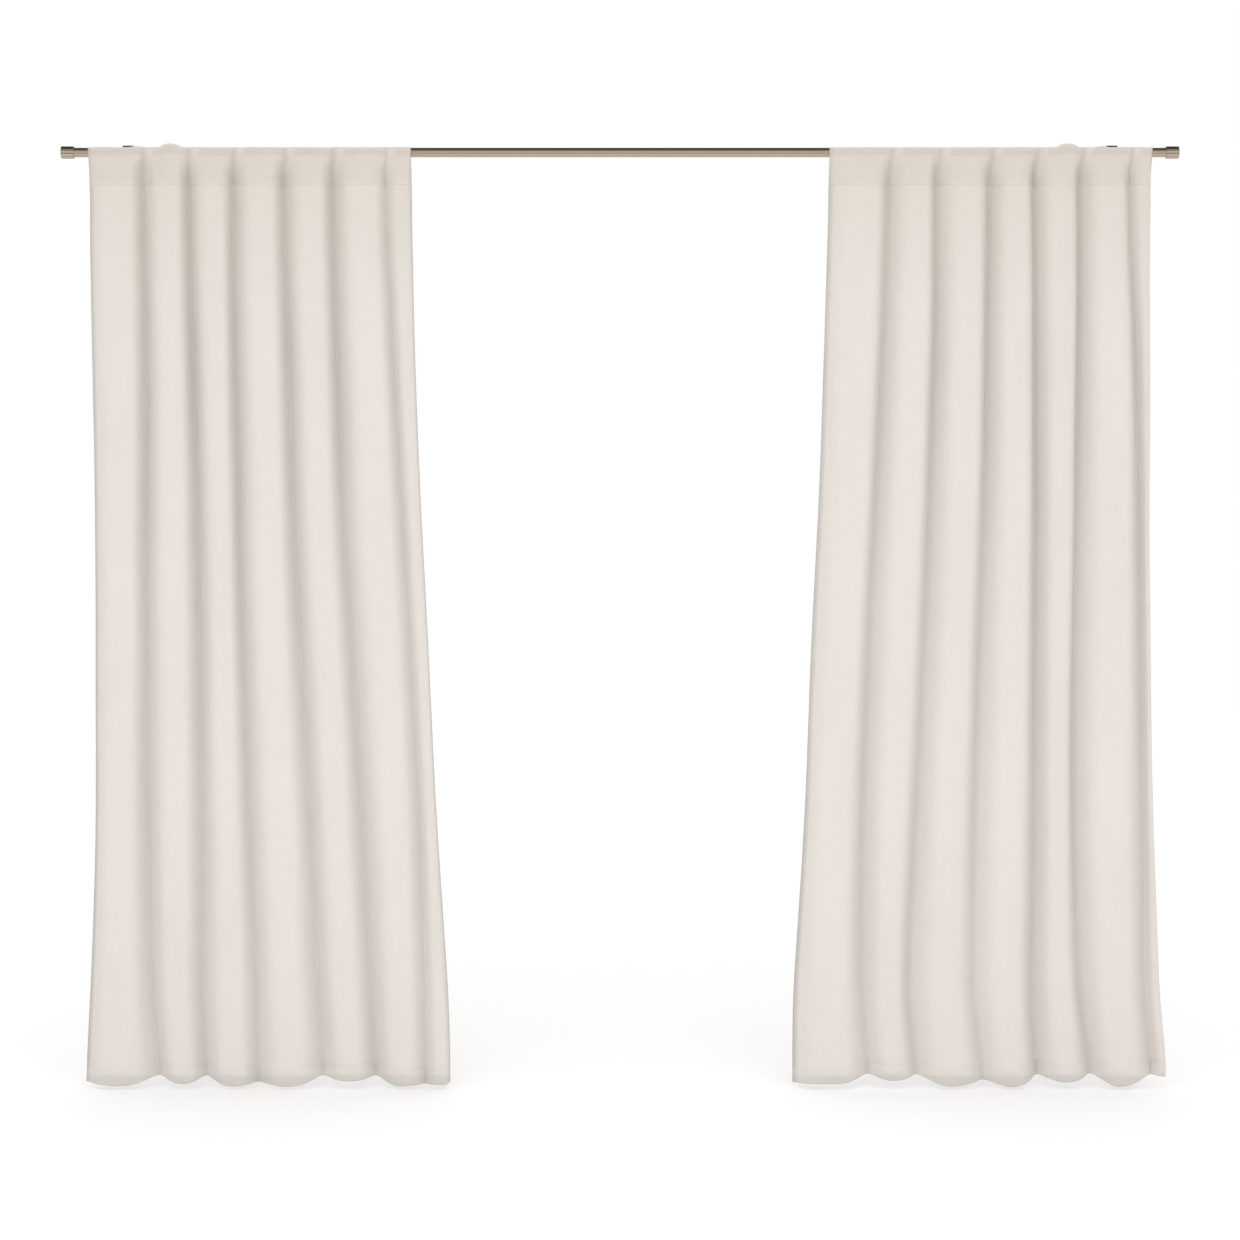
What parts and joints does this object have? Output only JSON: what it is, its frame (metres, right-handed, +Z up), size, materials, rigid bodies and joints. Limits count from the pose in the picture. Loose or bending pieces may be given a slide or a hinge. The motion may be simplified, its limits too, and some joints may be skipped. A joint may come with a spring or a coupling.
{
  "type": "curtains on a rod",
  "caption": "Pair of long cream back-tab curtain panels drawn to the sides of a round champagne metal rod on wall brackets; each panel slides along the rod.",
  "frame": {"origin": "on the wall plane, midway between the two brackets, level with the rod's axis: the centre of the four wall screw holes", "axes": "+X along the rod, +Y into the wall, +Z up; the room and the curtains are on the -Y side"},
  "size_m": [2.976, 0.1468, 2.5095],
  "materials": {
    "curtain_cloth": "matte slub weave in warm off-white, slightly translucent",
    "tab_cloth": "the same cloth, doubled and stitched",
    "rod_metal": "polished pale champagne nickel",
    "bracket_metal": "satin pale champagne nickel",
    "screw_steel": "zinc plated",
    "plain_steel": "drawn steel tube"
  },
  "bodies": {
    "rod_and_brackets": {"rod_connector": "plain_steel", "left_rod_tube": "rod_metal", "left_end_cap": "rod_metal", "left_cap_set_screw": "screw_steel", "left_wall_plate": "bracket_metal", "left_arm_screw": "screw_steel", "left_bracket_arm": "bracket_metal", "left_bracket_ring": "bracket_metal", "right_rod_tube": "rod_metal", "right_end_cap": "rod_metal", "right_cap_set_screw": "screw_steel", "right_wall_plate": "bracket_metal", "right_arm_screw": "screw_steel", "right_bracket_arm": "bracket_metal", "right_bracket_ring": "bracket_metal", "left_tab_1": "tab_cloth", "left_pleat_1": "curtain_cloth", "right_tab_6": "tab_cloth", "right_pleat_6": "curtain_cloth", "right_tab_7": "tab_cloth", "right_pleat_7": "curtain_cloth"},
    "left_section_7": {"left_tab_7": "tab_cloth", "left_pleat_7": "curtain_cloth"},
    "left_section_2": {"left_tab_2": "tab_cloth", "left_pleat_2": "curtain_cloth"},
    "left_section_3": {"left_tab_3": "tab_cloth", "left_pleat_3": "curtain_cloth"},
    "left_section_4": {"left_tab_4": "tab_cloth", "left_pleat_4": "curtain_cloth"},
    "left_section_5": {"left_tab_5": "tab_cloth", "left_pleat_5": "curtain_cloth"},
    "left_section_6": {"left_tab_6": "tab_cloth", "left_pleat_6": "curtain_cloth"},
    "left_thumb_screw": {"left_lock_screw": "bracket_metal"},
    "right_section_1": {"right_tab_1": "tab_cloth", "right_pleat_1": "curtain_cloth"},
    "right_section_2": {"right_tab_2": "tab_cloth", "right_pleat_2": "curtain_cloth"},
    "right_section_3": {"right_tab_3": "tab_cloth", "right_pleat_3": "curtain_cloth"},
    "right_section_4": {"right_tab_4": "tab_cloth", "right_pleat_4": "curtain_cloth"},
    "right_section_5": {"right_tab_5": "tab_cloth", "right_pleat_5": "curtain_cloth"},
    "right_thumb_screw": {"right_lock_screw": "bracket_metal"}
  },
  "joints": [
    {"name": "left_curtain_draw", "type": "slide", "parent": "rod_and_brackets", "child": "left_section_7", "axis": [1, 0, 0], "range_m": [-0.35, 0.44], "deforming": ["left_pleat_7"]},
    {"name": "left_section_2_slide", "type": "slide", "parent": "rod_and_brackets", "child": "left_section_2", "axis": [1, 0, 0], "range_m": [-0.01012, 0.01269], "deforming": ["left_pleat_2"]},
    {"name": "left_section_3_slide", "type": "slide", "parent": "rod_and_brackets", "child": "left_section_3", "axis": [1, 0, 0], "range_m": [-0.06975, 0.08766], "deforming": ["left_pleat_3"]},
    {"name": "left_section_4_slide", "type": "slide", "parent": "rod_and_brackets", "child": "left_section_4", "axis": [1, 0, 0], "range_m": [-0.15867, 0.19944], "deforming": ["left_pleat_4"]},
    {"name": "left_section_5_slide", "type": "slide", "parent": "rod_and_brackets", "child": "left_section_5", "axis": [1, 0, 0], "range_m": [-0.25196, 0.31673], "deforming": ["left_pleat_5"]},
    {"name": "left_section_6_slide", "type": "slide", "parent": "rod_and_brackets", "child": "left_section_6", "axis": [1, 0, 0], "range_m": [-0.32417, 0.40751], "deforming": ["left_pleat_6"]},
    {"name": "left_thumb_screw_turn", "type": "hinge", "parent": "rod_and_brackets", "child": "left_thumb_screw", "pos_m": [-1.309, -0.09, -0.02], "axis": [0, 0, 1], "continuous": true},
    {"name": "right_curtain_draw", "type": "slide", "parent": "rod_and_brackets", "child": "right_section_1", "axis": [-1, 0, 0], "range_m": [-0.35, 0.44], "deforming": ["right_pleat_1"]},
    {"name": "right_section_2_slide", "type": "slide", "parent": "rod_and_brackets", "child": "right_section_2", "axis": [-1, 0, 0], "range_m": [-0.31275, 0.39315], "deforming": ["right_pleat_2"]},
    {"name": "right_section_3_slide", "type": "slide", "parent": "rod_and_brackets", "child": "right_section_3", "axis": [-1, 0, 0], "range_m": [-0.22564, 0.28364], "deforming": ["right_pleat_3"]},
    {"name": "right_section_4_slide", "type": "slide", "parent": "rod_and_brackets", "child": "right_section_4", "axis": [-1, 0, 0], "range_m": [-0.11673, 0.14672], "deforming": ["right_pleat_4"]},
    {"name": "right_section_5_slide", "type": "slide", "parent": "rod_and_brackets", "child": "right_section_5", "axis": [-1, 0, 0], "range_m": [-0.0364, 0.04573], "deforming": ["right_pleat_5"]},
    {"name": "right_thumb_screw_turn", "type": "hinge", "parent": "rod_and_brackets", "child": "right_thumb_screw", "pos_m": [1.309, -0.09, -0.02], "axis": [0, 0, 1], "continuous": true}
  ],
  "couplings": [
    {"joint": "left_section_2_slide", "follows": "left_curtain_draw", "ratio": 0.028618},
    {"joint": "left_section_3_slide", "follows": "left_curtain_draw", "ratio": 0.199},
    {"joint": "left_section_4_slide", "follows": "left_curtain_draw", "ratio": 0.45305},
    {"joint": "left_section_5_slide", "follows": "left_curtain_draw", "ratio": 0.71961},
    {"joint": "left_section_6_slide", "follows": "left_curtain_draw", "ratio": 0.92593},
    {"joint": "right_section_2_slide", "follows": "right_curtain_draw", "ratio": 0.89329},
    {"joint": "right_section_3_slide", "follows": "right_curtain_draw", "ratio": 0.6444},
    {"joint": "right_section_4_slide", "follows": "right_curtain_draw", "ratio": 0.33324},
    {"joint": "right_section_5_slide", "follows": "right_curtain_draw", "ratio": 0.1037}
  ]
}
